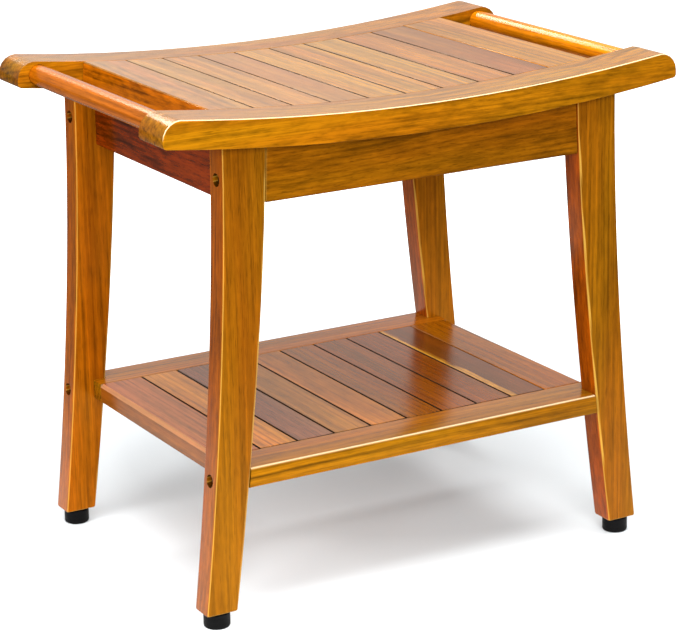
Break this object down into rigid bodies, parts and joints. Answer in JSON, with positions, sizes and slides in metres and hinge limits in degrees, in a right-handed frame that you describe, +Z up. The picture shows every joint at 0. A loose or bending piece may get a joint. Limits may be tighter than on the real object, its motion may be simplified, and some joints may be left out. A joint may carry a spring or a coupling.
{
  "type": "shower stool",
  "caption": "Free-standing slatted wooden shower stool with a dished seat, carrying dowels, flared legs, a lower shelf and screw-in levelling feet.",
  "frame": {"origin": "on the floor under the middle of the stool, at the bottom centre of its box", "axes": "+X along the stool's length, to the right seen from the front; +Y from front to back; +Z up"},
  "size_m": [0.515, 0.343, 0.4582],
  "materials": {
    "teak_rail": "glossy lacquer over golden teak",
    "teak_dowel": "glossy lacquer over orange teak",
    "teak_leg": "glossy lacquer over golden brown teak",
    "teak_slat_pink": "glossy lacquer over pinkish tan teak",
    "teak_slat_tan": "glossy lacquer over tan teak",
    "teak_slat_grey": "glossy lacquer over grey tan teak",
    "teak_slat_brown": "glossy lacquer over brown teak",
    "bolt_steel": "dark plated steel",
    "nut_zinc": "zinc plated steel",
    "insert_brass": "plain brass",
    "foot_rubber": "satin black rubber"
  },
  "bodies": {
    "frame": {"seat_rail_front": "teak_rail", "seat_rail_back": "teak_rail", "handle_dowel_left": "teak_dowel", "handle_dowel_right": "teak_dowel", "seat_slat_01": "teak_slat_pink", "seat_slat_02": "teak_slat_tan", "seat_slat_03": "teak_slat_tan", "seat_slat_04": "teak_slat_grey", "seat_slat_05": "teak_slat_tan", "seat_slat_06": "teak_slat_tan", "seat_slat_07": "teak_slat_tan", "seat_slat_08": "teak_slat_pink", "seat_slat_09": "teak_slat_brown", "seat_slat_10": "teak_slat_tan", "leg_front_left": "teak_leg", "leg_front_right": "teak_leg", "leg_back_left": "teak_leg", "leg_back_right": "teak_leg", "apron_front": "teak_rail", "apron_back": "teak_rail", "apron_left": "teak_leg", "apron_right": "teak_leg", "shelf_rail_front": "teak_rail", "shelf_rail_back": "teak_rail", "shelf_slat_01": "teak_slat_grey", "shelf_slat_02": "teak_slat_tan", "shelf_slat_03": "teak_slat_grey", "shelf_slat_04": "teak_slat_pink", "shelf_slat_05": "teak_slat_tan", "shelf_slat_06": "teak_slat_grey", "shelf_slat_07": "teak_slat_brown", "shelf_slat_08": "teak_slat_brown", "shelf_slat_09": "teak_slat_grey", "shelf_slat_10": "teak_slat_tan", "bolt_front_left_apron": "bolt_steel", "barrel_nut_front_left_apron": "nut_zinc", "bolt_front_left_shelf": "bolt_steel", "barrel_nut_front_left_shelf": "nut_zinc", "bolt_front_right_apron": "bolt_steel", "barrel_nut_front_right_apron": "nut_zinc", "bolt_front_right_shelf": "bolt_steel", "barrel_nut_front_right_shelf": "nut_zinc", "bolt_back_left_apron": "bolt_steel", "barrel_nut_back_left_apron": "nut_zinc", "bolt_back_left_shelf": "bolt_steel", "barrel_nut_back_left_shelf": "nut_zinc", "bolt_back_right_apron": "bolt_steel", "barrel_nut_back_right_apron": "nut_zinc", "bolt_back_right_shelf": "bolt_steel", "barrel_nut_back_right_shelf": "nut_zinc", "insert_front_left": "insert_brass", "insert_front_right": "insert_brass", "insert_back_left": "insert_brass", "insert_back_right": "insert_brass"},
    "foot_front_left": {"foot_front_left": "foot_rubber"},
    "foot_front_right": {"foot_front_right": "foot_rubber"},
    "foot_back_left": {"foot_back_left": "foot_rubber"},
    "foot_back_right": {"foot_back_right": "foot_rubber"}
  },
  "joints": [
    {"name": "foot_front_left_screw", "type": "slide", "parent": "frame", "child": "foot_front_left", "axis": [0, 0, -1], "range_m": [0, 0.008]},
    {"name": "foot_front_right_screw", "type": "slide", "parent": "frame", "child": "foot_front_right", "axis": [0, 0, -1], "range_m": [0, 0.008]},
    {"name": "foot_back_left_screw", "type": "slide", "parent": "frame", "child": "foot_back_left", "axis": [0, 0, -1], "range_m": [0, 0.008]},
    {"name": "foot_back_right_screw", "type": "slide", "parent": "frame", "child": "foot_back_right", "axis": [0, 0, -1], "range_m": [0, 0.008]}
  ]
}
